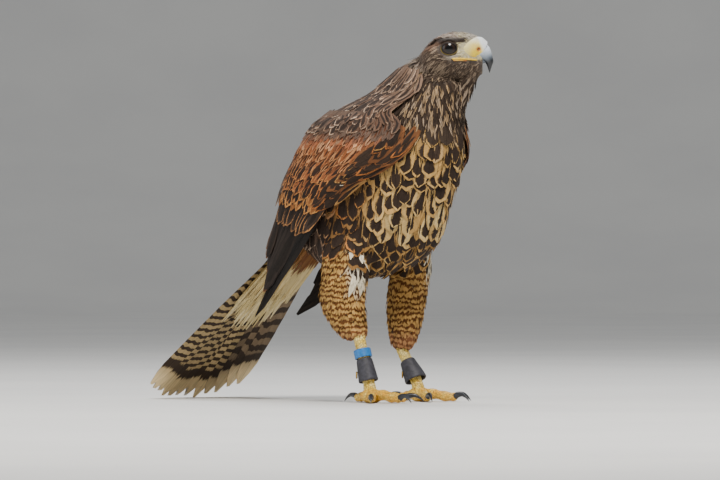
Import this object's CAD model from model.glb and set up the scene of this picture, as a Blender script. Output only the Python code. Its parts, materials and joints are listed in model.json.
"""A young harris hawk in life size, dressed over its solids.

Lengths are millimetres in the bird's own frame (x the way the body faces, y its left, z up)
until metres() puts them in the scene. A surface is a function of two parameters; feathers are
vanes whose quills lie on such a surface, built as whole arrays.
"""
import json

import bmesh
import bpy
import numpy as np
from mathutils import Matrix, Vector


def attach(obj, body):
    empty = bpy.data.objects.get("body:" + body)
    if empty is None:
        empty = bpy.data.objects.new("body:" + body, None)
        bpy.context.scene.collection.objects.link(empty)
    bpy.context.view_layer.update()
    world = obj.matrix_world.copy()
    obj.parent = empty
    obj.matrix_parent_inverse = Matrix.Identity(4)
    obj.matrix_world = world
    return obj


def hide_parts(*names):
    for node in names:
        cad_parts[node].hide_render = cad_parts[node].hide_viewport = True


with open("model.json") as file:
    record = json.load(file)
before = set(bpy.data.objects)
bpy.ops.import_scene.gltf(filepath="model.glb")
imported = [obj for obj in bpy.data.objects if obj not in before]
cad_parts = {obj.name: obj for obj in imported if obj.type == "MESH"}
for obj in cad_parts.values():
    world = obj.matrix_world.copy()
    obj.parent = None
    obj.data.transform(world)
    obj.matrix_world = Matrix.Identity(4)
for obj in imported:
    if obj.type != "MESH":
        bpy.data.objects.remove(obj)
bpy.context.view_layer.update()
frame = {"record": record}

RNG = np.random.default_rng(7)
MM = 0.001
ROUND = 2 * np.pi
MAP_TALL = 360.0
SOLE = np.array([20.0, -38.0, 0.0])
SHIFT = np.array(frame["record"]["mounts"][0]["pos_m"]) / MM - SOLE
SIDES = {"right": -1.0, "left": 1.0}

# The body as level slices: height, breast front, back, half width, shift to the left
BODY = {
    "z": [117, 126, 137, 149, 162, 178, 202, 225, 242, 258, 272, 284, 294, 306, 318, 328],
    "front": [22, 34, 44, 56, 65, 72, 81, 88, 90, 89, 88, 88, 90, 84, 74, 66],
    "back": [-62, -76, -88, -98, -105, -103, -96, -88, -80, -66, -46, -27, -10, 6, 20, 28],
    "half": [36, 42, 46, 50, 52, 54, 57, 60, 61, 58, 53, 47, 42, 36, 29, 24],
    "shift": [0, 0, 0, 0, 0, 0, 0, 0, 0, 1, 3, 5, 7, 9, 10, 11],
}
BELLY_ROUND = 30.0
NAPE_ROUND = 14.0

# The outer face of a folded wing, as level slices like the body's
WING = {
    "z": [50, 80, 105, 129, 152, 174, 203, 238, 261, 278],
    "centre": [-124, -98, -75, -55, -38, -25, -14, -3, 5, 14],
    "back": [-192, -172, -157, -151, -141, -129, -117, -94, -74, -52],
    "half": [45, 49, 53, 58, 64, 68, 71, 71, 66, 57],
    "front_edge": [158, 138, 124, 110, 100, 92, 80, 50, 42, 60],
    "back_edge": [166, 156, 150, 148, 150, 160, 166, 168, 164, 140],
}

# The cape over the wing's upper edge: its edges round the body in degrees, the heights between
# which wing turns into back, and how far it is sunk into the back and stands off the wing
CAPE = {"edges": (58, 174), "meets": (264, 292), "sunk": 1.0, "proud": 0.6}

TAIL_ROOT = np.array([-104.0, 0.0, 161.0])
TAIL_SLOPE = np.radians(41.8)

HEAD_CENTRE = np.array([72.0, 11.4, 332.5])
HEAD_TURN = np.radians(45)
HEAD = {
    "x": [-27, -20, -12, -3, 6, 14, 22, 29, 35, 38],
    "top": [-4, 3.5, 11, 16, 18.4, 18.4, 17, 14.6, 11, 6.5],
    "bottom": [-22, -27, -29, -29, -28, -27, -26, -25, -22, -14],
    "half": [14, 19, 22, 23.4, 22.4, 18.6, 14, 10.4, 7.6, 4.5],
}
HEAD_ROUND = {"back": 12.0, "front": 6.0}
HEAD_WIDEST = 3.0
EYE = {"x": 1.2, "y": 12.8, "z": 1.7, "radius": 9.4, "wide": 7.0, "high": 5.3}
CERE = {
    "x": [13, 18, 22, 27, 31.5, 37.5],
    "top": [10.5, 11.3, 12.3, 13.4, 13, 8.6],
    "half": [17.3, 16.1, 14.2, 10.9, 8.7, 6.6],
}
CERE_BOTTOM = -8.6
NOSTRIL = (29.2, 1.3)
CULMEN = [[33, 8.4], [39.1, 4], [42.2, -4.4], [43.2, -9.9], [41.6, -15.3], [39.8, -20.8]]
TOMIUM = [[27.5, -8.3], [31, -8.9], [34.2, -9.9], [36.6, -13], [38.2, -17], [39.3, -20.4]]
BILL_HALF = [7, 6.3, 5, 3.6, 2.2, 0.7]
LOWER_BILL = {
    "x": [14, 24, 31, 35.5],
    "bottom": [-12.5, -13.2, -13, -11.6],
    "half": [9.5, 7.4, 5.2, 2.4],
}
LOWER_BILL_TOP = -9.3
THROAT = {"x": [23, 17, 10, 3], "z": [-20, -34, -47, -58], "radius": [9, 9, 10, 12], "long": 44.0}
GAPE = {"x": [3.6, 10, 17, 23, 28], "z": [-8.4, -8.3, -7.9, -7.9, -8.5]}

THIGH = {
    "right": {
        "z": [58, 66, 78, 97, 121, 140, 158],
        "x": [-3, -6, -12, -17, -12, -13, -16],
        "y": [38, 38, 39, 40, 42, 38, 34],
        "long": [11, 17, 22, 25.5, 27, 28, 30],
        "wide": [10, 14, 18, 21, 20, 20, 18],
    },
    "left": {
        "z": [48, 58, 78, 97, 121, 140, 158],
        "x": [-14, -13, -11, -10, -6, -4, -2],
        "y": [37, 38, 38, 39, 40, 37, 34],
        "long": [10, 15.5, 20.5, 22.5, 23.5, 26, 28],
        "wide": [9, 13, 16.5, 18, 18.5, 19, 18],
    },
}
THIGH_ROUND = 7.0

SHANK = {
    "right": [[-1, -38, 76], [4.4, -38, 58], [12, -38, 34], [17, -38, 16], [19, -38, 6]],
    "left": [[-20, 37, 68], [-14, 37, 50], [-4.5, 37, 35], [6, 37, 18], [10, 37, 6]],
}
FOOT = {"right": (20, -38), "left": (11, 37)}
TOES = {
    "inner": {"turn": 33, "length": 34, "claw": 19},
    "middle": {"turn": -6, "length": 44, "claw": 17},
    "outer": {"turn": -46, "length": 35, "claw": 15},
    "hind": {"turn": 172, "length": 24, "claw": 21},
}
CUFF = {
    "right": {"from": 0.5, "to": 0.8, "top": 7.3, "foot": 9.6},
    "left": {"from": 0.47, "to": 0.78, "top": 7.2, "foot": 10.8},
}
LEATHER = 1.5
EYELET = {"down": 0.72, "turn": -135, "radius": 2.6, "wire": 0.85, "proud": 1.65}
RING = {"from": 0.37, "to": 0.485, "radius": 8.3, "bore": 6.7}


def run(xs, ys):
    """A smooth run through named sizes that never overshoots them (monotone cubic)."""
    xs, ys = np.asarray(xs, float), np.asarray(ys, float)
    rise = np.diff(ys) / np.diff(xs)
    slopes = np.zeros(len(xs))
    before, after = rise[:-1], rise[1:]
    same = before * after > 0
    slopes[1:-1][same] = 2 * before[same] * after[same] / (before[same] + after[same])
    slopes[0], slopes[-1] = rise[0], rise[-1]

    def at(x):
        i = np.clip(np.searchsorted(xs, x) - 1, 0, len(xs) - 2)
        width = xs[i + 1] - xs[i]
        t = np.clip((x - xs[i]) / width, 0, 1)
        lead = t * (1 - t) * ((1 - t) * slopes[i] - t * slopes[i + 1]) * width
        return ys[i] + (ys[i + 1] - ys[i]) * t * t * (3 - 2 * t) + lead

    return at


def runs(table, along):
    return {key: run(table[along], values) for key, values in table.items() if key != along}


def table_of(columns, rows):
    """Rows of values with a name for each column."""
    return {name: dict(zip(columns, row)) for name, row in rows.items()}


BODY_AT = runs(BODY, "z")
WING_AT = runs(WING, "z")
HEAD_AT = runs(HEAD, "x")
THIGH_AT = {name: runs(table, "z") for name, table in THIGH.items()}
THROAT_AT = run(np.linspace(0, THROAT["long"], 4), THROAT["radius"])


def metres(points):
    return (np.asarray(points) + SHIFT) * MM


def dome(distance, depth):
    """A rounded end: the share of full radius at a distance in from it (quarter circle)."""
    return np.sqrt(np.clip(1 - (1 - np.clip(distance / depth, 0, 1)) ** 2, 0.0004, 1))


def smooth(x, low, high):
    t = np.clip((x - low) / (high - low), 0, 1)
    return t * t * (3 - 2 * t)


def unit(v):
    return v / np.maximum(np.linalg.norm(v, axis=-1, keepdims=True), 1e-9)


def xyz(x, y, z):
    return np.stack(np.broadcast_arrays(x, y, z), axis=-1).astype(float)


def lerp(ends, share):
    return ends[0] + (ends[1] - ends[0]) * share


# Surfaces of the body: each takes two parameters and a distance out from the surface

def body_point(angle, z, out=0.0):
    """A level slice is an ellipse from breast to back, drawn in at belly and nape."""
    low, high = BODY["z"][0], BODY["z"][-1]
    rounded = np.minimum(dome(z - low, BELLY_ROUND), dome(high - z, NAPE_ROUND))
    front, back = BODY_AT["front"](z), BODY_AT["back"](z)
    x = (front + back) / 2 + ((front - back) / 2 * rounded + out) * np.cos(angle)
    y = BODY_AT["shift"](z) + (BODY_AT["half"](z) * rounded + out) * np.sin(angle)
    return xyz(x, y, z)


def from_head(points):
    cos, sin = np.cos(HEAD_TURN), np.sin(HEAD_TURN)
    x, y, z = points[..., 0], points[..., 1], points[..., 2]
    return xyz(x * cos - y * sin, x * sin + y * cos, z) + HEAD_CENTRE


def to_head(points):
    cos, sin = np.cos(HEAD_TURN), np.sin(HEAD_TURN)
    x, y, z = np.moveaxis(points - HEAD_CENTRE, -1, 0)
    return xyz(x * cos + y * sin, -x * sin + y * cos, z)


def head_slice(x):
    """A slice's top, its bottom and the height where it is widest, a little above its middle."""
    top, bottom = HEAD_AT["top"](x), HEAD_AT["bottom"](x)
    return top, bottom, (top + bottom) / 2 + HEAD_WIDEST


def head_point(angle, x, out=0.0):
    """An upright slice across the bill's line: an ellipse with its own upper and lower reach."""
    behind, before = dome(x - HEAD["x"][0], HEAD_ROUND["back"]), dome(HEAD["x"][-1] - x, HEAD_ROUND["front"])
    rounded = np.minimum(behind, before)
    top, bottom, widest = head_slice(x)
    rise = np.sin(angle)
    reach = np.where(rise > 0, top - widest, widest - bottom) * rounded + out
    y = (HEAD_AT["half"](x) * rounded + out) * np.cos(angle)
    return from_head(xyz(x, y, widest + reach * rise))


def head_side(x, z):
    """How far out the side of the head is."""
    top, bottom, widest = head_slice(x)
    reach = np.where(z > widest, top - widest, widest - bottom)
    return HEAD_AT["half"](x) * np.sqrt(np.clip(1 - ((z - widest) / reach) ** 2, 0, 1))


def thigh_point(name):
    """A level slice of a thigh is an ellipse, drawn in where the bare shank leaves it."""
    at, low, side = THIGH_AT[name], THIGH[name]["z"][0], SIDES[name]

    def point(angle, z, out=0.0):
        rounded = dome(z - low, THIGH_ROUND)
        x = at["x"](z) + (at["long"](z) * rounded + out) * np.cos(angle)
        return xyz(x, side * at["y"](z) + (at["wide"](z) * rounded + out) * np.sin(angle), z)

    return point


def wing_point(side, across, z, lift=0.0):
    """The folded wing's face, from its front edge (0) to its back edge (1)."""
    edges = WING_AT["front_edge"](z), WING_AT["back_edge"](z)
    angle = np.radians(lerp(edges, across))
    x = WING_AT["centre"](z) + (WING_AT["centre"](z) - WING_AT["back"](z) + lift) * np.cos(angle)
    return xyz(x, side * (WING_AT["half"](z) + lift) * np.sin(angle), z)


def cape_point(side, across, z, lift=0.0):
    """Over the wing's upper edge: the back's surface turning into the wing's."""
    turn = np.radians(lerp(CAPE["edges"], across))
    on_body = body_point(side * turn, z, lift - CAPE["sunk"])
    on_wing = wing_point(side, across, z, lift + CAPE["proud"])
    return on_body + (on_wing - on_body) * (1 - smooth(z, *CAPE["meets"]))[..., None]


def side_point(side, across, z, lift=0.0):
    """Over the wing's front edge: the breast's surface turning into the wing's."""
    edges = WING_AT["front_edge"](z), WING_AT["back_edge"](z)
    on_body = body_point(side * np.radians(lerp(edges, across) + 5), z, lift)
    on_wing = wing_point(side, across, z, lift)
    return on_body + (on_wing - on_body) * smooth(across, -0.3, 0.05)[..., None]


def tail_point(along, across, lift):
    cos, sin = np.cos(TAIL_SLOPE), np.sin(TAIL_SLOPE)
    return xyz(-along * cos - lift * sin, across, -along * sin + lift * cos) + TAIL_ROOT


# Meshes from arrays

def mesh_object(name, points, faces, ride=True):
    """An object from an array of points in the bird's frame and an array of faces."""
    mesh = bpy.data.meshes.new(name)
    mesh.from_pydata(metres(points).reshape(-1, 3), [], faces)
    mesh.shade_smooth()
    piece = bpy.data.objects.new(name, mesh)
    bpy.context.scene.collection.objects.link(piece)
    if ride:
        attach(piece, "root")
    return piece


def grid_faces(rows, cols, closed=False, looped=False):
    """Quads of a grid of rows by cols points, its columns joined round where closed and its
    last row joined to the first where looped."""
    i = np.arange(rows if looped else rows - 1)[:, None]
    j = np.arange(cols if closed else cols - 1)[None, :]
    ahead, turned = (i + 1) % rows * cols, (j + 1) % cols
    corners = i * cols + j, i * cols + turned, ahead + turned, ahead + j
    return np.stack(corners, axis=-1).reshape(-1, 4)


def sheet(surface, rows, cols, looped=False):
    """Points and quads of a surface(u, v) that closes round in u, and in v where looped."""
    v = np.linspace(0, 1, rows, endpoint=not looped)[:, None]
    u = np.linspace(0, 1, cols, endpoint=False)[None, :]
    return surface(u, v).reshape(-1, 3), grid_faces(rows, cols, True, looped)


def tube(surface, rows, cols):
    """A closed body: surface(u, v) goes round in u and along in v, with both ends capped."""
    points, faces = sheet(surface, rows, cols)
    ends = [points[:cols].mean(axis=0), points[-cols:].mean(axis=0)]
    first, last = len(points), len(points) + 1
    j = np.arange(cols)
    k = (j + 1) % cols
    low = np.stack([np.full(cols, first), k, j], axis=-1)
    high = np.stack([np.full(cols, last), j + (rows - 1) * cols, k + (rows - 1) * cols], axis=-1)
    points = np.vstack([points, ends])
    return points, [*faces.tolist(), *low.tolist(), *high.tolist()]


def outward(piece):
    """Turns a closed mesh's faces outwards."""
    work = bmesh.new()
    work.from_mesh(piece.data)
    bmesh.ops.remove_doubles(work, verts=work.verts, dist=1e-6)
    bmesh.ops.recalc_face_normals(work, faces=work.faces)
    work.to_mesh(piece.data)
    work.free()
    return piece


def join(points_and_faces):
    points, faces, start = [], [], 0
    for some_points, some_faces in points_and_faces:
        points.append(some_points)
        faces += [[index + start for index in face] for face in some_faces]
        start += len(some_points)
    return np.vstack(points), faces


def apply_modifiers(piece):
    """Replaces a piece's mesh by its modified one."""
    graph = bpy.context.evaluated_depsgraph_get()
    mesh = bpy.data.meshes.new_from_object(piece.evaluated_get(graph))
    piece.modifiers.clear()
    piece.data = mesh
    mesh.shade_smooth()


def remesh(piece, voxel, rounds):
    """Fuses closed bodies into one skin, then relaxes it."""
    fused = piece.modifiers.new("Fuse", "REMESH")
    fused.mode, fused.voxel_size, fused.adaptivity = "VOXEL", voxel * MM, 0
    if rounds:
        relaxed = piece.modifiers.new("Relax", "SMOOTH")
        relaxed.factor, relaxed.iterations = 0.5, rounds
    apply_modifiers(piece)


def path_frames(points, steps):
    """Even steps along a smooth line through points, with two directions across it."""
    points = np.asarray(points, float)
    knots = np.concatenate([[0], np.cumsum(np.linalg.norm(np.diff(points, axis=0), axis=1))])
    fine = np.linspace(0, knots[-1], 200)
    line = np.stack([run(knots, points[:, i])(fine) for i in range(3)], axis=-1)
    length = np.concatenate([[0], np.cumsum(np.linalg.norm(np.diff(line, axis=0), axis=1))])
    at = np.asarray(steps) * length[-1]
    middle = np.stack([np.interp(at, length, line[:, i]) for i in range(3)], axis=-1)
    tangent = unit(np.gradient(line, axis=0))
    tangent = unit(np.stack([np.interp(at, length, tangent[:, i]) for i in range(3)], axis=-1))
    across = unit(np.cross(xyz(0, 0, 1), tangent))
    steep = np.abs(tangent[:, 2:]) > 0.98
    across = np.where(steep, xyz(0, 1, 0), across)
    return middle, across, np.cross(tangent, across)


def ring_point(angle, radius, across, up):
    """A place on a circle, out from its middle."""
    return (radius * np.cos(angle))[..., None] * across + (radius * np.sin(angle))[..., None] * up


def throat_point(angle, down, out=0.0):
    """Round the line from the chin down the neck's front, a distance down it."""
    line = from_head(np.array([[x, 0.0, z] for x, z in zip(THROAT["x"], THROAT["z"])]))
    middle, across, up = path_frames(line, down / THROAT["long"])
    return middle + ring_point(angle, THROAT_AT(down) + out, across, up)


def limb(points, radius_at, rows, cols):
    """A round limb: a circle of radius_at(v, angle) carried along a line."""
    def surface(u, v):
        share = v[:, 0]
        middle, across, up = path_frames(points, share)
        angle = ROUND * u
        return middle[:, None] + ring_point(angle, radius_at(v, angle), across[:, None], up[:, None])

    return tube(surface, rows, cols)


# Shader trees

def tint(code):
    """A colour's code as the linear numbers that shaders take."""
    parts = np.array([int(code[i:i + 2], 16) for i in (0, 2, 4)]) / 255
    return np.where(parts < 0.04045, parts / 12.92, ((parts + 0.055) / 1.055) ** 2.4)


def rgba(code):
    return (*tint(code), 1.0)


class Value:
    """A number in a shader tree, so that sums and products can be written as such."""

    def __init__(self, paint, socket):
        self.paint, self.socket = paint, socket

    def __add__(self, other):
        return self.paint.math("ADD", self, other)

    def __sub__(self, other):
        return self.paint.math("SUBTRACT", self, other)

    def __rsub__(self, other):
        return self.paint.math("SUBTRACT", other, self)

    def __mul__(self, other):
        return self.paint.math("MULTIPLY", self, other)

    def __truediv__(self, other):
        return self.paint.math("DIVIDE", self, other)

    def __pow__(self, other):
        return self.paint.math("POWER", self, other)

    __radd__ = __add__
    __rmul__ = __mul__


class Paint:
    """A material: one principled shader and the tree that feeds it."""

    def __init__(self, name, **fixed):
        self.material = bpy.data.materials.new(name)
        self.material.use_nodes = True
        self.tree = self.material.node_tree
        self.tree.nodes.clear()
        output = self.node("ShaderNodeOutputMaterial")
        self.shader = self.node("ShaderNodeBsdfPrincipled")
        self.tree.links.new(self.shader.outputs[0], output.inputs[0])
        for key, value in fixed.items():
            self.feed(key.replace("_", " "), value)

    def node(self, kind, settings=None, sockets=None):
        node = self.tree.nodes.new(kind)
        for key, value in (settings or {}).items():
            setattr(node, key, value)
        for key, value in (sockets or {}).items():
            self.plug(node.inputs[key], value)
        return node

    def plug(self, socket, value):
        if isinstance(value, Value):
            self.tree.links.new(value.socket, socket)
        elif isinstance(value, bpy.types.NodeSocket):
            self.tree.links.new(value, socket)
        else:
            socket.default_value = value

    def feed(self, name, value):
        self.plug(self.shader.inputs[name], value)

    def math(self, operation, *values):
        node = self.node("ShaderNodeMath", {"operation": operation}, dict(enumerate(values)))
        return Value(self, node.outputs[0])

    def smooth(self, value, low, high):
        sockets = {"Value": value, "From Min": low, "From Max": high}
        node = self.node("ShaderNodeMapRange", {"interpolation_type": "SMOOTHSTEP"}, sockets)
        return Value(self, node.outputs[0])

    def mix(self, first, second, share):
        node = self.node("ShaderNodeMix", {"data_type": "RGBA"}, {0: share, 6: first, 7: second})
        return node.outputs[2]

    def shade(self, colour, strength):
        """A colour made brighter or darker by a number."""
        sockets = {0: colour, "Scale": strength}
        return self.node("ShaderNodeVectorMath", {"operation": "SCALE"}, sockets).outputs[0]

    def attribute(self, name):
        """A mesh attribute's colour and the number kept beside it."""
        node = self.node("ShaderNodeAttribute", {"attribute_name": name})
        return node.outputs["Color"], Value(self, node.outputs["Alpha"])

    def parts(self, vector):
        node = self.node("ShaderNodeSeparateXYZ", None, {0: vector})
        return [Value(self, socket) for socket in node.outputs]

    def join(self, x, y, z):
        return self.node("ShaderNodeCombineXYZ", None, {0: x, 1: y, 2: z}).outputs[0]

    def place(self):
        """Where a point is on its object, in metres."""
        return self.node("ShaderNodeTexCoord").outputs["Object"]

    def noise(self, vector, scale, detail=2.0, rough=0.5):
        sockets = {"Vector": vector, "Scale": scale, "Detail": detail, "Roughness": rough}
        return Value(self, self.node("ShaderNodeTexNoise", None, sockets).outputs[0])

    def cells(self, vector, scale):
        """How near a point is to the middle of its cell (0) or to its edge."""
        sockets = {"Vector": vector, "Scale": scale}
        node = self.node("ShaderNodeTexVoronoi", {"feature": "DISTANCE_TO_EDGE"}, sockets)
        return Value(self, node.outputs[0])

    def bump(self, height, depth):
        """Relief of a number, depth millimetres deep."""
        sockets = {"Height": height, "Distance": depth * MM, "Strength": 1.0}
        self.feed("Normal", self.node("ShaderNodeBump", None, sockets).outputs[0])


def wear(piece, paint):
    piece.data.materials.append(paint.material)
    return piece


def set_map(mesh, name, places):
    """A UV map from one place for each vertex."""
    corners = np.empty(len(mesh.loops), np.int32)
    mesh.loops.foreach_get("vertex_index", corners)
    mesh.uv_layers.new(name=name).data.foreach_set("uv", places[corners].astype(np.float32).ravel())


def set_colours(mesh, name, values):
    """A colour and a number for each vertex."""
    attribute = mesh.attributes.new(name, "FLOAT_COLOR", "POINT")
    attribute.data.foreach_set("color", values.astype(np.float32).ravel())


def set_tints(mesh, colours):
    set_colours(mesh, "ground", np.concatenate([colours, np.ones((len(colours), 1))], axis=1))


def vertex_places(piece):
    """The mesh's vertices in the bird's frame."""
    points = np.empty(len(piece.data.vertices) * 3, np.float32)
    piece.data.vertices.foreach_get("co", points)
    return points.reshape(-1, 3) / MM - SHIFT


def map_places(angle, level):
    """Places on the bake map: round the skin and along it."""
    return np.stack([angle / ROUND, level], axis=-1)


# Feathers

CONTOUR = run([0, 0.2, 0.55, 0.82, 0.95, 1], [0.4, 0.8, 1, 0.82, 0.45, 0.12])
FLIGHT = run([0, 0.12, 0.5, 0.86, 0.96, 1], [0.45, 0.8, 1, 0.88, 0.5, 0.15])
TAPERED = run([0, 0.25, 0.6, 1], [0.5, 1, 0.75, 0.08])


def laid(skin, points):
    """The nearest place on the skin to each point, and the skin's normal there."""
    found = []
    for height in (0.0, 1.0):
        probe = mesh_object("probe", points.reshape(-1, 3), [], ride=False)
        wrap = probe.modifiers.new("Lay", "SHRINKWRAP")
        wrap.target = skin
        wrap.wrap_method, wrap.wrap_mode = "NEAREST_SURFACEPOINT", "ABOVE_SURFACE"
        wrap.offset = height * MM
        apply_modifiers(probe)
        places = np.empty(points.size, np.float32)
        probe.data.vertices.foreach_get("co", places)
        found.append(places.reshape(points.shape).astype(float) / MM - SHIFT)
        bpy.data.objects.remove(probe)
    return found[0], unit(found[1] - found[0])


def staggered(surface, low, high, gap, aspect=1.1, jitter=0.3):
    """Roots in rings round a surface, each ring turned by half a gap, with their angles and
    levels; gap(level) is how far apart they are."""
    turn = np.linspace(0, ROUND, 97)
    angles, levels = [], []
    level = low
    while level < high:
        step = float(gap(level))
        ring = surface(turn, np.full(turn.shape, level))
        length = np.concatenate([[0], np.cumsum(np.linalg.norm(np.diff(ring, axis=0), axis=1))])
        count = max(3, int(length[-1] / (step * aspect)))
        share = (np.arange(count) + len(angles) % 2 / 2 + RNG.normal(0, jitter, count)) / count % 1
        angles.append(np.interp(share * length[-1], length, turn))
        levels.append(level + RNG.normal(0, jitter * step, count))
        level += step
    angles, levels = np.concatenate(angles), np.clip(np.concatenate(levels), low, high)
    return surface(angles, levels), angles, levels


def quills(skin, roots, flow, length, rows, lift, sunk=0.6):
    """Lines over the skin from the roots along the flow, rising from it by lift at their tips."""
    on, normal = laid(skin, roots)
    ahead = unit(flow - normal * (flow * normal).sum(axis=-1, keepdims=True))
    share = np.linspace(0, 1, rows)
    lines, normals = laid(skin, on[:, None] + ahead[:, None] * (length[:, None] * share)[..., None])
    height = lift[:, None] * share - sunk * (1 - share)
    return lines + normals * height[..., None], normals


def vanes(lines, normals, width, outline, cols=5, camber=0.2, roll=0.0, ragged=0.0):
    """A vane about each line: points by feather, along it and across it."""
    count, rows = lines.shape[:2]
    side = unit(np.cross(normals, unit(np.gradient(lines, axis=1))))
    half = np.broadcast_to(width, (count,))[:, None] / 2 * outline(np.linspace(0, 1, rows))
    across = np.linspace(-1, 1, cols)
    out = half[:, :, None] * across
    if ragged:
        out = out * (1 + RNG.normal(0, ragged, out.shape))
    roll = np.broadcast_to(roll, (count,))[:, None, None]
    height = roll * out - camber * half[:, :, None] * across**2
    points = lines[:, :, None] + side[:, :, None] * out[..., None]
    return points + normals[:, :, None] * height[..., None]


def looks(count, ground, mark, fringe, spot=0.0, edge=0.15, start=0.0, bars=0.0, tip=0.0, vary=0.1):
    """The colours of each feather: the numbers beside them are a random one, the half width of
    the mark in the middle, and the width of the fringe. The pattern holds where the mark
    starts, how many bars cross the vane, their phase, and the length of the pale tip."""
    light = 1 + RNG.normal(0, vary, (count, 1)).clip(-2.5 * vary, 2.5 * vary)
    chance = RNG.random(count)
    phase = RNG.normal(0, 0.12, count)

    def rows(*columns):
        return np.concatenate([np.broadcast_to(c, (count, np.shape(c)[-1])) for c in columns], axis=1)

    def column(value):
        return np.broadcast_to(value, (count,))[:, None]

    return {
        "ground": rows(np.broadcast_to(ground, (count, 3)) * light, column(chance)),
        "mark": rows(np.broadcast_to(mark, (count, 3)) * light, column(spot)),
        "fringe": rows(np.broadcast_to(fringe, (count, 3)) * light, column(edge)),
        "pattern": rows(column(start), column(bars), column(phase), column(tip)),
    }


def own_cells(count):
    """A cell of the bake map for each of a few large feathers: their middles and their size."""
    side = int(np.ceil(np.sqrt(count)))
    k = np.arange(count)
    return np.stack([(k % side + 0.5) / side, (k // side + 0.5) / side], axis=-1), 0.92 / side


def plumage(name, points, look, places, paint, cell=0.003):
    """One piece of many feathers, with the vane's own map and the bake map."""
    count, rows, cols = points.shape[:3]
    quads = grid_faces(rows, cols)[:, ::-1]
    starts = np.arange(count)[:, None, None] * rows * cols
    piece = mesh_object(name, points.reshape(-1, 3), (quads + starts).reshape(-1, 4))
    vane = np.stack(np.meshgrid(np.linspace(0, 1, cols), np.linspace(0, 1, rows)), axis=-1)
    vane = np.broadcast_to(vane, (count, rows, cols, 2))
    bake = places[:, None, None] + (vane - 0.5) * cell
    set_map(piece.data, "Vane", vane.reshape(-1, 2))
    set_map(piece.data, "OFBake", bake.reshape(-1, 2))
    for key, values in look.items():
        set_colours(piece.data, key, np.repeat(values, rows * cols, axis=0))
    return wear(piece, paint)


def feather_paint(name="feather", waves=0.0):
    """Vanes with a shaft, barbs, a mark or bars, a fringe and a tip. With waves, the bars run
    level across the whole coat, that many millimetres apart."""
    paint = Paint(name, Roughness=0.75, Specular_IOR_Level=0.2)
    ground, chance = paint.attribute("ground")
    mark, spot = paint.attribute("mark")
    fringe, edge = paint.attribute("fringe")
    pattern, tip = paint.attribute("pattern")
    start, bars, phase = paint.parts(pattern)
    across, along, _ = paint.parts(paint.node("ShaderNodeUVMap", {"uv_map": "Vane"}).outputs[0])
    off = paint.math("ABSOLUTE", across - 0.5 + (chance - 0.5) * 0.12) * 2
    barb = along - off * 0.18
    grain = paint.noise(paint.join(barb * 26, off * 1.5, chance * 90), 1.0, 3.0, 0.6) - 0.5
    cloud = paint.noise(paint.join(barb * 4, across * 3, chance * 70), 1.0, 1.0) - 0.5
    rim = (off**3 + paint.smooth(along, 0.3, 1.1) ** 3) ** 0.333
    drop = spot * (paint.smooth(along, 0.25, 0.78) * 0.6 + 0.4)
    drop = drop * (1 - paint.smooth(along + (chance - 0.5) * 0.24, 0.84, 1.0))
    blot = 1 - paint.smooth(off + grain * 0.45 + cloud * 0.3, drop * 0.72, drop * 1.12 + 0.01)
    blot = blot * paint.smooth(along + cloud * 0.1, start, start + 0.12)
    if waves:
        place = paint.place()
        height = paint.parts(place)[2] / (waves * MM) + paint.noise(place, 60.0, 2.0) * 2.2
        wave = paint.math("SINE", (height + chance * 0.4 + off * 0.3) * ROUND + cloud * 2.0)
    else:
        wave = paint.math("SINE", (along * bars + phase + cloud * 0.75 + off * 0.1) * ROUND)
    barred = paint.math("MINIMUM", bars, 1.0)
    cover = blot + (paint.smooth(wave + grain * 0.6, -0.15, 0.3) - blot) * barred
    colour = paint.mix(ground, mark, cover)
    past = along - (1 - tip)
    tips = paint.smooth(tip, 0.01, 0.03)
    band = paint.smooth(past + grain * 0.06, -0.06, -0.04) * barred * tips
    colour = paint.mix(colour, mark, band)
    tipped = paint.smooth(past + grain * 0.06 + cloud * 0.04, 0, 0.02) * tips
    warm = paint.mix(paint.mix(ground, fringe, 0.35), fringe, paint.smooth(past, 0.0, 0.1))
    rough = rim + grain * 0.45 + cloud * 0.25
    edged = paint.smooth(rough, 1 - edge, 1.06 - edge * 0.4) * paint.smooth(edge, 0.0, 0.02)
    colour = paint.mix(paint.mix(colour, fringe, edged), warm, tipped)
    shaft = 1 - paint.smooth(off, 0.02, 0.09)
    colour = paint.shade(colour, 1 + grain * 0.8 + cloud * 0.35 - shaft * 0.2)
    paint.feed("Base Color", colour)
    paint.bump(grain * 0.6 + shaft * 0.5, 0.35)
    return paint


# The colours of the coat, worked out from where a feather's root is

BUFF, CREAM = tint("b28a4e"), tint("cdb27a")
DARK, ORANGE = tint("2c2018"), tint("a5622c")
MANTLE, MANTLE_DARK, MANTLE_EDGE = tint("5f4c40"), tint("332822"), tint("c4ab94")
CROWN, CROWN_EDGE = tint("8a7668"), tint("cfc2b4")
CHEEK, STREAK, THROAT_DARK = tint("42352c"), tint("93806c"), tint("352920")


def blend(first, second, share):
    return first + (second - first) * np.asarray(share)[..., None]


def round_body(points):
    """The angle of a place round the body's column, 0 at the breast."""
    z = points[..., 2]
    front, back = BODY_AT["front"](z), BODY_AT["back"](z)
    x = (points[..., 0] - (front + back) / 2) / ((front - back) / 2)
    return np.arctan2((points[..., 1] - BODY_AT["shift"](z)) / BODY_AT["half"](z), x)


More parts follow.
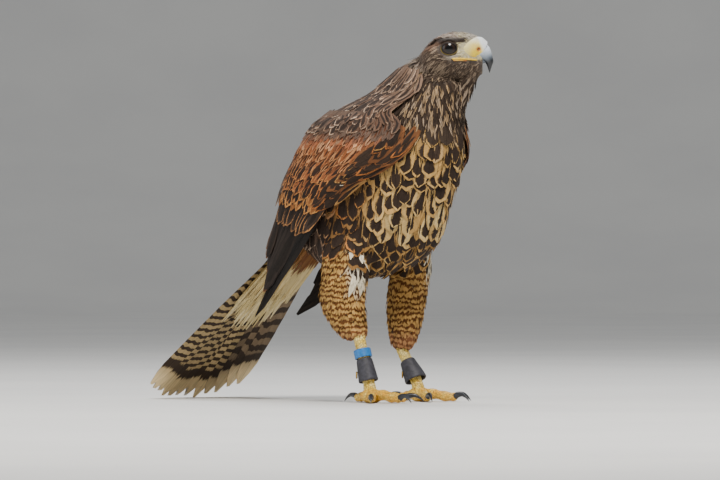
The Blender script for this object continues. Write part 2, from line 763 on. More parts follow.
def body_looks(roots):
    """Big dark drops on buff over the breast, fine streaks on the neck, long pale streaks low
    on the breast, dark on belly and sides, and grey-brown with pale edges behind."""
    count = len(roots)
    z, angle = roots[:, 2], round_body(roots)
    front = np.cos(angle)
    behind = 1 - smooth(front, -0.35, 0.0)
    aside = 1 - smooth(front, 0.22, 0.6)
    flank = aside * (1 - smooth(z, 205, 228))
    shoulder = aside * smooth(z, 205, 228)
    neck, fine = smooth(z, 246, 266), smooth(z, 268, 288)
    streaked = smooth(z, 170, 184) * (1 - smooth(z, 200, 216)) * (1 - aside)
    belly = 1 - smooth(z, 168, 188)
    pale, chance = RNG.random(count), RNG.random(count)
    ground = blend(BUFF, CREAM, pale * (0.3 + 0.7 * streaked))
    ground = blend(ground, tint("86602f"), np.maximum(belly * 0.8, flank * 0.6))
    ground = blend(ground, tint("6e4527"), np.maximum(shoulder, flank * 0.5))
    streak = blend(THROAT_DARK, blend(STREAK, BUFF, chance * 0.5), pale > 0.62)
    ground = blend(blend(ground, streak, neck), MANTLE, behind)
    mark = blend(blend(DARK, THROAT_DARK, neck), MANTLE_DARK, behind)
    spot = 0.9 + RNG.normal(0, 0.16, count) - 0.5 * streaked + 0.12 * belly + 0.12 * aside
    spot = lerp((spot, 0.3), fine) * (1 - 0.3 * behind)
    edge = RNG.normal(0.02, 0.06, count) + 0.08 * streaked + 0.06 * behind
    edge = np.clip(edge, 0, 0.4) * (1 - fine * (1 - behind))
    fringe = blend(blend(BUFF, CREAM, pale * 0.5), ORANGE, np.maximum(flank, shoulder) * 0.8)
    fringe = blend(fringe, MANTLE_EDGE, behind)
    rump = behind * (1 - smooth(z, 128, 160))
    ground, fringe = blend(ground, tint("6b4226"), rump), blend(fringe, tint("b08a58"), rump)
    return looks(count, ground, mark, fringe, spot=spot, edge=edge, start=0.12, vary=0.12)


def head_looks(roots):
    """Pinkish grey with pale edges on the crown, dark with fine streaks on cheek and chin, pale
    before the eye, and dark along the brow."""
    count = len(roots)
    x, _, z = np.moveaxis(to_head(roots), -1, 0)
    crown = smooth(z, 7, 12)
    nape = (1 - smooth(x, -20, -10)) * smooth(z, -16, -4)
    top = np.maximum(crown, nape * 0.22)
    brow = smooth(z, 6.5, 8.5) * (1 - smooth(z, 11, 13))
    brow = brow * smooth(x, -16, -8) * (1 - smooth(x, 16, 21))
    lore = smooth(x, 7, 13) * smooth(z, -9.5, -8) * (1 - brow)
    forehead = smooth(x, 12, 26) * smooth(z, 9, 12)
    chance = RNG.random(count)
    ground = blend(CHEEK, STREAK, (chance > 0.66) * 0.55 + 0.15 * chance)
    ground = blend(ground, blend(CROWN, CROWN_EDGE, (chance > 0.6) * 0.6), top)
    warm = (1 - smooth(x, -8, 0)) * smooth(x, -26, -20) * smooth(z, 2, 8)
    ground = blend(ground, tint("7a4f38"), warm * 0.5)
    under = smooth(x, -2, 8) * smooth(z, -8.6, -6) * (1 - smooth(z, -2, 1))
    ground = blend(ground, tint("b9b2a4"), under * (1 - lore) * 0.7)
    pale = blend(tint("d2c38c"), tint("e4dcbe"), chance)
    ground = blend(ground, pale, lore * (1 - crown * 0.5))
    ground = blend(ground, blend(tint("a5988a"), tint("ded7ca"), chance), forehead)
    ground = blend(ground, tint("2a201a"), brow * 0.9)
    mark = ground * 0.55
    fringe = blend(blend(STREAK, CROWN_EDGE, top), ground, np.maximum(lore, brow))
    edge = np.clip(RNG.normal(0.03, 0.05, count) + 0.06 * top, 0, 0.3)
    return looks(count, ground, mark, fringe, spot=0.3, edge=edge, start=0.1, vary=0.12)


def thigh_looks(roots, pale):
    """Wavy rufous and cream bars, turning to white with dark drops where the coat is pale."""
    count = len(roots)
    low = 1 - smooth(roots[:, 2], 62, 84)
    ground = blend(blend(tint("b58d4e"), tint("a97a50"), low), tint("d8ccb2"), pale)
    mark = blend(blend(tint("5e3917"), tint("784c30"), low), tint("2e231b"), pale)
    dark = RNG.random(count) > 0.6
    bars = 1.0 * (pale < 0.4)
    return looks(count, ground, mark, ground, spot=0.8 * dark, edge=0.0, bars=bars, vary=0.1)


def bring_in(skin):
    """The skin's own colours: what the feathers over it have, a shade darker."""
    points = vertex_places(skin)
    head = smooth(points[:, 2], 300, 318)
    both = body_looks(points), head_looks(points)
    mixed = [blend(look["ground"][:, :3], look["mark"][:, :3], 0.6) for look in both]
    set_tints(skin.data, blend(*mixed, head) * 0.8)
    set_map(skin.data, "OFBake", map_places(round_body(points) + np.pi, points[:, 2] / MAP_TALL))


# The body's skin and coat

COAT = {"body": 3.4, "head": 1.0, "throat": 2.0, "thigh": 3.0}
PINCH = 0.26
BROW = {"x": [-13, -6, 2, 10, 18], "z": [7.6, 9.0, 9.7, 10.4, 11.0], "radius": 2.5}

# An eye's socket: how far out its floor and its rim are, where they are as shares of the eye's
# opening, and how far out the side of the head begins
SOCKET = {"depths": (15.0, 25.0), "floor": 1.05, "rim": 1.9, "side": 8.0}
NEAR_SKIN = 2.5

# On the bake map: where the throat starts, the head's first place, and the millimetres of
# throat, head and thigh that would fill its whole height
THROAT_MAP = {"start": 0.93, "span": 700.0}
HEAD_MAP = {"first": -30.0, "span": 70.0}
THIGH_MAP = {"span": 170.0}


def inset(point, coat):
    """A surface drawn in by the depth of its coat."""
    return lambda angle, level: point(angle, level, -COAT[coat])


def skull(u, v):
    """The head under its coat, drawn in at the front to sit inside cere and bill."""
    x = lerp((HEAD["x"][0] + COAT["head"], HEAD["x"][-1] - 5), v)
    place = to_head(head_point(ROUND * u, x, -COAT["head"]))
    drawn = 1 - PINCH * smooth(place[..., 0], 17, 30) * smooth(place[..., 2], -14, -9)
    return from_head(place * xyz(1, drawn, 1))


def throat_skin(u, v):
    """The throat under its coat."""
    angle, down = np.broadcast_arrays(ROUND * u, v * THROAT["long"])
    return inset(throat_point, "throat")(angle.ravel(), down.ravel()).reshape(*angle.shape, 3)


def off_eye(x, z):
    """How far a place is from the eye's middle, 1 at the opening's edge."""
    return np.hypot((x - EYE["x"]) / EYE["wide"], (z - EYE["z"]) / EYE["high"])


def sink_eyes(skin):
    """Presses a socket into the skin for each eye."""
    places = to_head(vertex_places(skin))
    off = off_eye(places[:, 0], places[:, 2])
    most = lerp(SOCKET["depths"], smooth(off, SOCKET["floor"], SOCKET["rim"]))
    near = (off < SOCKET["rim"]) & (np.abs(places[:, 1]) > SOCKET["side"])
    pressed = np.sign(places[:, 1]) * np.minimum(np.abs(places[:, 1]), most)
    places[:, 1] = np.where(near, pressed, places[:, 1])
    skin.data.vertices.foreach_set("co", metres(from_head(places)).astype(np.float32).ravel())
    skin.data.update()


def brow_radius(v, angle):
    return BROW["radius"] * dome(v, 0.3) * dome(1 - v, 0.3)


def skin_piece():
    """Body, head, brows and thighs fused into one skin under the coat."""
    span = BODY["z"][0], BODY["z"][-1]
    bodies = [tube(lambda u, v: under_body(ROUND * u, lerp(span, v)), 60, 72)]
    bodies += [tube(skull, 48, 56), tube(throat_skin, 24, 32)]
    for name in SIDES:
        ends = THIGH[name]["z"][0] + COAT["thigh"], THIGH[name]["z"][-1]
        thigh = inset(thigh_point(name), "thigh")
        bodies.append(tube(lambda u, v: thigh(ROUND * u, lerp(ends, v)), 40, 36))
    for side in SIDES.values():
        ridge = [[x, side * (head_side(x, z) - 1.1), z] for x, z in zip(BROW["x"], BROW["z"])]
        bodies.append(limb(from_head(np.array(ridge)), brow_radius, 16, 12))
    skin = outward(mesh_object("skin", *join(bodies)))
    remesh(skin, 1.5, 3)
    sink_eyes(skin)
    bring_in(skin)
    paint = Paint("skin", Roughness=0.7)
    colour, _ = paint.attribute("ground")
    down = paint.noise(paint.place(), 400, 4.0)
    paint.feed("Base Color", paint.shade(colour, down + 0.5))
    paint.bump(down, 0.6)
    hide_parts("head", "neck", "torso", "thigh_right", "thigh_left")
    return wear(skin, paint)


def down_over(roots, back=0.0):
    """Straight down, with a share towards the tail."""
    return np.broadcast_to(np.array([-back, 0.0, -1.0]), roots.shape)


def rooted(skin, surface, low, high, gap, aspect=1.1):
    """Staggered roots where the surface is the outside of the skin, laid on it."""
    roots, angles, levels = staggered(surface, low, high, gap, aspect)
    on, _ = laid(skin, roots)
    clear = np.linalg.norm(on - roots, axis=1) < NEAR_SKIN
    return on[clear], angles[clear], levels[clear]


under_body = inset(body_point, "body")


# Layers of the body's coat, undermost first: the heights they cover, the gap between roots, the
# vanes' length and width, how far their tips lift, and the share of plain dark and pale ones
LAYERS = table_of(("span", "gap", "aspect", "length", "width", "lift", "plain"), {
    "under_coat": ((119, 270), 5.4, 0.9, 20, 5.6, (0.6, 1.9), 0.4),
    "body_coat": ((123, 270), 11.0, 0.98, 27, 16.0, (2.2, 3.9), 0),
    "neck_under": ((256, 326), 4.4, 0.9, 16, 4.6, (0.4, 1.6), 0.6),
    "neck_coat": ((260, 326), 3.9, 0.8, 17, 3.9, (1.2, 3.2), 0),
    "loose_barbs": ((128, 226), 9.0, 1.0, 17, 1.3, (2.8, 4.6), 0.5),
})


def body_layer(name, skin, paint):
    """Staggered vanes over breast, flanks and back, smaller where they near the legs."""
    layer = LAYERS[name]
    roots, angles, z = rooted(skin, under_body, *layer["span"], lambda z: layer["gap"], layer["aspect"])
    if name == "loose_barbs":
        front = np.cos(round_body(roots)) > 0.2
        roots, angles, z = roots[front], angles[front], z[front]
    count = len(z)
    broad = name == "body_coat"
    low_breast = smooth(z, 160, 180) * (1 - smooth(z, 200, 225))
    size = (1 - 0.5 * (1 - smooth(z, 116, 150))) * (1 + 0.2 * low_breast)
    length = layer["length"] * size * RNG.uniform(0.8, 1.2, count)
    flow = down_over(roots, 0.25) + RNG.normal(0, 0.13, roots.shape)
    lift = RNG.uniform(*layer["lift"], count)
    lines, normals = quills(skin, roots, flow, length, 7 if broad else 5, lift)
    width = layer["width"] * np.minimum(size, 1) * RNG.uniform(0.75, 1.15, count)
    outline = CONTOUR if broad else TAPERED
    points = vanes(lines, normals, width, outline, 5, 0.2, RNG.normal(0, 0.14, count), 0.06)
    look = body_looks(roots)
    dark = (RNG.random(count) < layer["plain"])[:, None]
    look["ground"][:, :3] = np.where(dark, look["mark"][:, :3], look["ground"][:, :3])
    if not broad:
        look["mark"][:, 3] = 0.25
        look["fringe"][:, 3] = 0
    plumage(name, points, look, map_places(angles, z / MAP_TALL), paint)


def throat_coat(skin, paint):
    """Fine loose streaks hanging from chin and throat."""
    surface = inset(throat_point, "throat")
    roots, angles, down = rooted(skin, surface, 3, THROAT["long"] - 2, lambda level: 2.6, 0.9)
    count = len(down)
    way = from_head(np.array([-8.0, 0.0, -13.0])) - HEAD_CENTRE
    flow = np.broadcast_to(way / 15, roots.shape) + RNG.normal(0, 0.12, roots.shape)
    lift = RNG.uniform(0.8, 3.6, count)
    lines, normals = quills(skin, roots, flow, RNG.uniform(10, 17, count), 5, lift)
    width = RNG.uniform(1.8, 3.0, count)
    points = vanes(lines, normals, width, TAPERED, 3, 0.2, RNG.normal(0, 0.2, count), 0.06)
    chance = RNG.random(count)
    ground = blend(THROAT_DARK, STREAK, (chance > 0.6) * 0.8)
    look = looks(count, ground, ground * 0.6, STREAK, spot=0.25, edge=0.0, vary=0.12)
    places = map_places(angles, THROAT_MAP["start"] + down / THROAT_MAP["span"])
    plumage("throat_coat", points, look, places, paint)


def head_flow(roots):
    """Back from the bill over crown and cheek, turning down at nape and throat."""
    x, _, z = np.moveaxis(to_head(roots), -1, 0)
    fall = 0.25 + 1.6 * (1 - smooth(x, -24, -2)) + 1.0 * (1 - smooth(z, -20, -4))
    way = xyz(-1, 0, -fall)
    return from_head(way) - HEAD_CENTRE


def bare_face(places):
    """How far a place in the head's frame is inside the bare eye rim, lips and cere (above 0)."""
    x, z = places[:, 0], places[:, 2]
    eye = 1.36 - off_eye(x, z)
    lips = np.where(x > GAPE["x"][0] - 1, 1.4 - np.abs(z - run(GAPE["x"], GAPE["z"])(x) + 0.8), -1)
    cere = np.where((z > -10) & (z < 10.5), x - 20.0, np.where(z > 0, x - 29.5, -1))
    bill = np.where(z > -12, x - 33.0, -1)
    return np.maximum(np.maximum(eye, lips), np.maximum(cere, bill))


def head_coat(skin, paint):
    """Small fine vanes on the face that grow longer towards the nape."""
    surface = inset(head_point, "head")
    roots, angles, x = rooted(skin, surface, -26, 33, lambda x: 2.1 - 0.6 * smooth(x, -20, 0), 0.95)
    places = to_head(roots)
    sparse = smooth(x, 7, 12) * (places[:, 2] < 9) * (places[:, 2] > -9)
    clear = (bare_face(places) < 0) & (RNG.random(len(x)) > 0.6 * sparse)
    roots, angles, x = roots[clear], angles[clear], x[clear]
    small = smooth(x, -24, 14)
    length = lerp((14.0, 5.4), small) * RNG.uniform(0.8, 1.25, len(x))
    length = length * (1 - 0.35 * smooth(to_head(roots)[:, 2], 8, 12))
    flow = head_flow(roots) + RNG.normal(0, 0.09, roots.shape)
    lift = lerp((2.6, 0.9), small) * RNG.uniform(0.4, 1.5, len(x))
    lines, normals = quills(skin, roots, flow, length, 5, lift, 0.3)
    roll = RNG.normal(0, 0.15, len(x))
    width = lerp((3.0, 1.35), small) * RNG.uniform(0.8, 1.3, len(x))
    points = vanes(lines, normals, width, TAPERED, 3, 0.2, roll, 0.06)
    places = map_places(angles, (x - HEAD_MAP["first"]) / HEAD_MAP["span"])
    plumage("head_coat", points, head_looks(roots), places, paint)


def thigh_coat(skin, name, paint):
    """Loose barred trousers, with a pale patch in front."""
    surface, heights = inset(thigh_point(name), "thigh"), THIGH[name]["z"]
    roots, angles, z = rooted(skin, surface, heights[0] + 4, heights[-1] - 4, lambda z: 4.0, 1.1)
    if name == "right":
        pale = smooth(np.cos(angles + 0.2 + (z - 120) * 0.008), 0.84, 0.95) * smooth(z, 106, 122)
    else:
        pale = smooth(np.cos(angles - 0.5), 0.84, 0.96) * smooth(z, 120, 132)
    length = lerp((13.0, 19.0), smooth(z, 60, 140)) * RNG.uniform(0.85, 1.2, len(z))
    flow = down_over(roots, 0.12) + RNG.normal(0, 0.12, roots.shape)
    lift = RNG.uniform(1.2, 3.2, len(z))
    lines, normals = quills(skin, roots, flow, length, 5, lift)
    points = vanes(lines, normals, 7.5, TAPERED, 4, 0.2, RNG.normal(0, 0.18, len(z)), 0.08)
    places = map_places(angles, z / THIGH_MAP["span"])
    plumage("thigh_coat_" + name, points, thigh_looks(roots, pale), places, paint)


# Wings

# Rows of one wing, undermost first: across is from the front edge (0) to the back edge (1), and
# colours are the ground's, the mark's and the fringe's. A row is repeated further down by its step.
WING_COLUMNS = (
    "count", "root_across", "tip_across", "roots", "tips", "width", "lifts", "colours", "edge",
    "tip", "spot", "repeat", "step",
)
WING_ROWS = table_of(WING_COLUMNS, {
    "primaries": (
        8, (0.06, 0.42), (0.12, 0.62), (196, 196), (82, 112), 13, (-8.4, -7.4),
        ("1f1a17", "171310", "2b231d"), 0.02, 0.0, 0.5, 1, 0,
    ),
    "secondaries": (
        13, (0.26, 0.93), (0.24, 0.88), (200, 208), (104, 140), 15, (-6.4, -4.0),
        ("2c231e", "201914", "a06c40"), 0.0, 0.03, 0.6, 1, 0,
    ),
    "tertials": (
        7, (0.68, 0.97), (0.66, 0.95), (214, 222), (134, 152), 15, (-4.2, -0.8),
        ("3b2e26", "2a211b", "9c6840"), 0.02, 0.04, 0.6, 1, 0,
    ),
    "greater_coverts": (
        20, (0.03, 0.96), (0.02, 0.95), (206, 218), (160, 177), 10, (-5.2, -1.2),
        ("3a2d25", "271e18", "b27c4a"), 0.02, 0.05, 0.7, 1, 0,
    ),
    "median_coverts": (
        19, (0.03, 0.96), (0.03, 0.95), (226, 234), (186, 200), 9.5, (-4.4, -0.4),
        ("8e5a30", "2a1f19", "c08648"), 0.05, 0.04, 0.85, 2, 7,
    ),
    "lesser_coverts": (
        21, (0.03, 0.96), (0.02, 0.95), (242, 248), (206, 220), 8.5, (-3.8, 0.2),
        ("8a5230", "33231a", "b87c46"), 0.03, 0.0, 0.75, 3, 6,
    ),
    "marginal_coverts": (
        32, (0.02, 0.97), (0.01, 0.95), (256, 258), (226, 238), 5.6, (-3.4, 0.2),
        ("8c522e", "4a2c1b", "c28a5c"), 0.02, 0.0, 0.35, 3, 5,
    ),
    "shoulder": (
        44, (0.03, 0.97), (0.02, 0.95), (274, 276), (250, 260), 4.4, (-3.2, 0.3),
        ("94593a", "5a3622", "cc9b72"), 0.0, 0.0, 0.3, 5, 4,
    ),
    "scapulars": (
        8, (0.76, 1.04), (0.74, 1.02), (256, 262), (188, 202), 14, (-3.0, 1.6),
        ("43352c", "2e241e", "8c6f58"), 0.06, 0.0, 0.6, 2, -14,
    ),
    "wing_edge": (
        4, (0.0, 0.03), (-0.01, 0.02), (216, 212), (203, 196), 4, (-3.4, 0.3),
        ("cbbda0", "3f3026", "e2d8c2"), 0.1, 0.0, 0.7, 2, 7,
    ),
})
WING_BED = {"top": 276.0, "foot": 168.0, "lift": -9.5, "depth": 5.0}


def chart_quills(surface, side, across, height, lifts, rows):
    """Lines on a side's surface, each from a root to a tip, and the surface's normals."""
    share = np.linspace(0, 1, rows)
    a = across[0][:, None] + (across[1] - across[0])[:, None] * share
    z = height[0][:, None] + (height[1] - height[0])[:, None] * share
    lift = lerp(lifts, share) + np.zeros_like(z)
    lines = surface(side, a, z, lift)
    ahead, above = surface(side, a + 0.01, z, lift), surface(side, a, z + 1, lift)
    normals = np.cross(ahead - lines, above - lines)
    return lines, unit(normals) * side


def wing_row(name, side, row, paint):
    """Rows of flight feathers or coverts, each lying over the next."""
    count, repeat = row["count"], row["repeat"]
    sheets, high = [], []
    for k in reversed(range(repeat)):
        share = (np.arange(count) + 0.5 * (k % 2) + RNG.normal(0, 0.2, count)) / (count - 1)
        down = k * row["step"]
        tip_across = lerp(row["tip_across"], share) + RNG.normal(0, 0.008, count)
        tip_height = lerp(row["tips"], share) - down + RNG.normal(0, 1.8, count)
        across = [lerp(row["root_across"], share), tip_across]
        height = [lerp(row["roots"], share) - down, tip_height]
        lines, normals = chart_quills(wing_point, side, across, height, row["lifts"], 10)
        lines = lines + normals * (0.35 * (repeat - k) + RNG.normal(0, 0.2, (count, 1)))[..., None]
        roll = side * (0.15 + RNG.normal(0, 0.06, count))
        width = row["width"] * RNG.uniform(0.8, 1.15, count)
        sheets.append(vanes(lines, normals, width, FLIGHT, 5, 0.14, roll, 0.04))
        high.append(smooth(height[0], 262, 271))
    points, total = np.concatenate(sheets), count * repeat
    ground, mark, fringe = (tint(code) for code in row["colours"])
    spot = np.clip(row["spot"] + RNG.normal(0, 0.14, total), 0.1, 1)
    edge = np.clip(row["edge"] + RNG.normal(0, 0.03, total), 0, 1) * (row["edge"] > 0)
    fine = name.startswith(("shoulder", "marginal"))
    chance = RNG.random(total)
    ground = blend(blend(ground, mark, (chance < 0.25) * 0.6), fringe, (chance > 0.7) * 0.7 * fine)
    ground = blend(ground, MANTLE, np.concatenate(high))
    look = looks(total, ground, mark, fringe, spot=spot, edge=edge, start=0.1, tip=row["tip"], vary=0.14)
    places, cell = own_cells(total)
    return plumage(name, points, look, places, paint, cell)


def tiled(surface, side, tops, count, ends, drop, lifts, width):
    """Rows of vanes on a side's surface, each row lying over the one below it, small in front.
    Also gives each root's place: its share of the row and the row's of the rows."""
    sheets, roots = [], []
    for k, top in enumerate(tops):
        share = (np.arange(count) + 0.5 * (k % 2) + RNG.normal(0, 0.2, count)) / count
        start = lerp(ends, share) + RNG.normal(0, 0.02, count) * (share < 0.2)
        across = [start, start + 0.03 + RNG.normal(0, 0.012, count)]
        height = [top + RNG.normal(0, 1.6, count), top - RNG.uniform(*drop, count)]
        lines, normals = chart_quills(surface, side, across, height, lifts, 7)
        lines = lines + normals * RNG.normal(0, 0.25, (count, 1, 1))
        roll = RNG.normal(0, 0.12, count)
        across_vane = RNG.uniform(*width, count) * (0.6 + 0.4 * smooth(share, 0.05, 0.3))
        sheets.append(vanes(lines, normals, across_vane, CONTOUR, 5, 0.22, roll, 0.05))
        roots.append(np.stack([share, np.full(count, (k + 0.5) / len(tops))], axis=-1))
    return np.concatenate(sheets), np.concatenate(roots)


def cape(name, side, paint):
    """Mantle feathers from the neck's sides out over the wing's upper edge."""
    tops = np.linspace(273, 316, 8)
    points, roots = tiled(cape_point, side, tops, 21, (0.0, 0.97), (15, 20), (0.4, 2.4), (8, 12))
    count = len(points)
    front = 1 - smooth(roots[:, 0], 0.15, 0.4)
    warm = RNG.random(count) * 0.35 + front * 0.1
    ground = blend(MANTLE, tint("6a4229"), warm)
    ground = blend(ground, STREAK, front * roots[:, 1] * 0.25)
    fringe = blend(MANTLE_EDGE, tint("a3703f"), warm)
    edge = np.clip(RNG.normal(0.06, 0.06, count), 0, 0.25) * (1 - 0.8 * front)
    look = looks(count, ground, MANTLE_DARK, fringe, spot=0.6 - 0.1 * front, edge=edge, vary=0.14)
    plumage("cape_" + name, points, look, roots, paint, 0.02)


def side_feathers(name, side, paint):
    """Dark vanes with rufous edges from the breast's side out over the wing's front edge."""
    tops = np.linspace(204, 262, 10)
    points, roots = tiled(side_point, side, tops, 4, (-0.12, 0.07), (19, 25), (0.0, 2.6), (8, 12))
    count = len(points)
    chance = RNG.random(count)
    fringe = blend(ORANGE, BUFF, (chance > 0.6) * 0.7)
    ground = blend(tint("6e4527"), BUFF, (chance > 0.8) * 0.5 * (1 - roots[:, 0]))
    spot = np.clip(0.9 + RNG.normal(0, 0.14, count), 0.4, 1.1)
    edge = np.clip(RNG.normal(0, 0.05, count), 0, 0.2)
    look = looks(count, ground, DARK, fringe, spot=spot, edge=edge, start=0.1, vary=0.14)
    plumage("side_feathers_" + name, points, look, roots, paint, 0.02)


def wing(name, side, paint):
    """A dark bed under the rows, then the rows from the flight feathers up to the shoulder."""
    def bed(u, v):
        turn = ROUND * u
        lift = WING_BED["lift"] + WING_BED["depth"] / 2 * np.sin(turn)
        across = 0.5 - 0.49 * np.cos(turn)
        return wing_point(side, across, lerp((WING_BED["foot"], WING_BED["top"]), v), lift)

    under = outward(mesh_object("wing_bed_" + name, *tube(bed, 40, 48)))
    fill = Paint("wing_bed", Roughness=0.8)
    fill.feed("Base Color", fill.mix(rgba("3a2b21"), rgba("5a3a28"), fill.noise(fill.place(), 200)))
    wear(under, fill)
    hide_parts("wing_" + name)
    for row_name, row in WING_ROWS.items():
        wing_row(f"{row_name}_{name}", side, row, paint)
    side_feathers(name, side, paint)
    cape(name, side, paint)


# Tail

# Rows of the tail: how far along they start and end, half their span at the root, the angle
# they fan out to, their width, the lift of the middle one and the step to the next, whether
# they face down, the ground's, mark's and fringe's colours, the bars and the pale tip
TAIL_COLUMNS = ("count", "reach", "root", "spread", "width", "lift", "down", "colours", "bars", "tip")
TAIL_ROWS = table_of(TAIL_COLUMNS, {
    "tail_under": (12, (8, 241), 13, 12, 24, (-1.0, -0.8), True, ("a08a62", "32261c", "e8cf9f"), 23.0, 0.12),
    "tail_over": (12, (8, 241), 13, 12, 24, (0.2, -0.8), False, ("4a3c31", "2b221c", "e2d8c6"), 13.0, 0.09),
    "tail_coverts": (16, (-16, 76), 14, 9, 11, (4.0, -0.3), False, ("d9cba9", "cdbb9a", "e6dcc4"), 0.0, 0.0),
    "vent_long": (26, (4, 138), 16, 7, 12, (-8.0, 0.15), True, ("c8b27a", "b39c66", "dccb9f"), 0.0, 0.0),
    "vent_middle": (28, (0, 116), 20, 9, 12, (-10.2, 0.18), True, ("c4ad74", "b39a62", "dac898"), 0.0, 0.0),
    "vent_short": (28, (-10, 92), 22, 9, 12, (-12.6, 0.2), True, ("bfa56c", "a07a48", "d4c08e"), 0.0, 0.0),
    "vent_tuft": (22, (-26, 48), 24, 9, 9, (-14.5, 0.3), True, ("6b4426", "4a2e1a", "916538"), 0.0, 0.0),
})


def tail_row(name, row, paint):
    """A fan of feathers in the tail's plane, seen from above or from below; the coverts are
    narrow and fluffy."""
    count, fluffy = row["count"], row["bars"] == 0
    share = np.linspace(-1, 1, count)
    turn = np.radians(row["spread"]) * share
    shortest = 0.8 if fluffy else 0.97
    start, end = row["reach"]
    ends = end * (1 - 0.07 * share**2) * RNG.uniform(shortest, 1.0, count)
    reach = start + (ends - start)[:, None] * np.linspace(0, 1, 16)
    lift = row["lift"][0] + row["lift"][1] * np.abs(share[:, None]) * (count - 1) / 2
    lift = lift + 0.4 * (share[:, None] < 0) + fluffy * RNG.normal(0, 0.5, (count, 1))
    along = reach * np.cos(turn)[:, None]
    across = row["root"] * share[:, None] + reach * np.sin(turn)[:, None]
    lines = tail_point(along, across, lift)
    normal = (tail_point(0.0, 0.0, 1.0) - TAIL_ROOT) * (-1 if row["down"] else 1)
    outline, ragged = (TAPERED, 0.06) if fluffy else (FLIGHT, 0.02)
    normals = np.broadcast_to(normal, lines.shape)
    points = vanes(lines, normals, row["width"], outline, 7, 0.05, 0.0, ragged)
    ground, mark, fringe = (tint(code) for code in row["colours"])
    far = (name == "tail_under") * smooth(share, 0.45, 0.6)
    ground = blend(blend(ground, fringe, fluffy * RNG.random(count)), tint("5f4e40"), far * 0.8)
    bars, tip = row["bars"] * (1 - 0.5 * (far > 0.5)), row["tip"] * (1 + 0.4 * far)
    look = looks(count, ground, mark, fringe, edge=0.0, bars=bars, tip=tip, vary=0.08)
    look["pattern"][:, 2] += RNG.uniform(-0.4, 0.4, count)
    places, cell = own_cells(count)
    return plumage(name, points, look, places, paint, cell)


def tail(paint):
    for name, row in TAIL_ROWS.items():
        piece = tail_row(name, row, paint)
        if name == "tail_under":
            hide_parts("tail")


# Bare parts

def solid(name, points_and_faces, paint, slot, *nodes):
    piece = outward(mesh_object(name, *points_and_faces))
    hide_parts(*nodes)
    return wear(piece, paint)


def tinted(name, code, second, scale, depth, **fixed):
    """A surface of two mottled colours with fine relief."""
    paint = Paint(name, **fixed)
    mottle = paint.noise(paint.place(), scale, 4.0)
    paint.feed("Base Color", paint.mix(rgba(code), rgba(second), paint.smooth(mottle, 0.3, 0.7)))
    paint.bump(mottle, depth)
    return paint


def painted(name, **fixed):
    """A surface whose colours are kept on its vertices."""
    paint = Paint(name, **fixed)
    colour, _ = paint.attribute("ground")
    mottle = paint.noise(paint.place(), 700, 3.0)
    paint.feed("Base Color", paint.shade(colour, mottle * 0.3 + 0.85))
    paint.bump(mottle, 0.15)
    return paint


def colour_by(piece, colours):
    """Keeps a colour for each vertex, worked out from its place in the head's frame."""
    values = colours(*np.moveaxis(to_head(vertex_places(piece)), -1, 0))
    set_tints(piece.data, values)


def nostril(x, z, spread):
    """A bell over the nostril's middle."""
    return np.exp(-((x - NOSTRIL[0]) ** 2 + (z - NOSTRIL[1]) ** 2) / spread)


def cere_piece():
    """Slices across the bill, the front ones slanting back below: pale at the forehead, yellow
    at the sides, with a nostril on each side."""
    top, half = run(CERE["x"], CERE["top"]), run(CERE["x"], CERE["half"])

    def surface(u, v):
        along = lerp((CERE["x"][0], CERE["x"][-1]), v)
        angle = ROUND * u
        middle, reach = (top(along) + CERE_BOTTOM) / 2, (top(along) - CERE_BOTTOM) / 2
        z = middle + reach * np.sin(angle)
        x = along - 0.6 * np.clip(6 - z, 0, 15) * smooth(v, 0.45, 1)
        pit = nostril(x, z, 2.6)
        full = np.sign(np.cos(angle)) * np.abs(np.cos(angle)) ** np.where(z < middle, 0.6, 0.95)
        return from_head(xyz(x, (half(along) - 2.6 * pit) * full, z))

    def colours(x, y, z):
        yellow = (1 - smooth(z, 4.5, 10)) * (1 - smooth(x + 0.3 * z, 30.5, 33.5))
        base = blend(tint("e6dcb0"), tint("e8c628"), yellow * (0.7 + 0.3 * smooth(-z, -4, 2)))
        base = blend(base, tint("d3c890"), (1 - smooth(x, 18, 25)) * 0.7)
        base = blend(base, tint("cfc7b8"), smooth(z + 0.12 * x, 11.5, 15) * (1 - smooth(x, 34, 37)) * 0.8)
        base = blend(base, tint("dfe3e4"), smooth(x + 0.5 * z, 33, 36))
        pit = nostril(x, z, 3.0)
        base = blend(base, tint("b5672a"), np.clip(pit * 2.0, 0, 1))
        return blend(base, tint("1d120c"), smooth(pit, 0.6, 0.88))

    piece = solid("cere_skin", tube(surface, 80, 96), painted("cere", Roughness=0.5), "cere", "cere")
    colour_by(piece, colours)


def upper_bill_piece():
    """Slices from the ridge to the cutting edge, pale blue-grey turning black at the hook."""
    at = np.linspace(0, 1, len(CULMEN))
    ridge = [run(at, [p[i] for p in CULMEN]) for i in (0, 1)]
    edge = [run(at, [p[i] for p in TOMIUM]) for i in (0, 1)]
    half = run(at, BILL_HALF)

    def surface(u, v):
        angle = ROUND * u
        up, side = np.sin(angle), np.cos(angle)
        x = lerp((edge[0](v), ridge[0](v)), (up + 1) / 2)
        z = lerp((edge[1](v), ridge[1](v)), (up + 1) / 2)
        return from_head(xyz(x, half(v) * side * (1 - 0.18 * up), z))

    def colours(x, y, z):
        dark = smooth(-z + (x - 38) * 0.5, 2.5, 12)
        return blend(blend(tint("d3dae2"), tint("7d8894"), smooth(-z, -4, 7)), tint("17181c"), dark)

    paint = painted("bill", Roughness=0.28, Coat_Weight=0.3, Coat_Roughness=0.2)
    piece = solid("bill_upper", tube(surface, 72, 48), paint, "bill", "upper_bill")
    colour_by(piece, colours)
    return paint


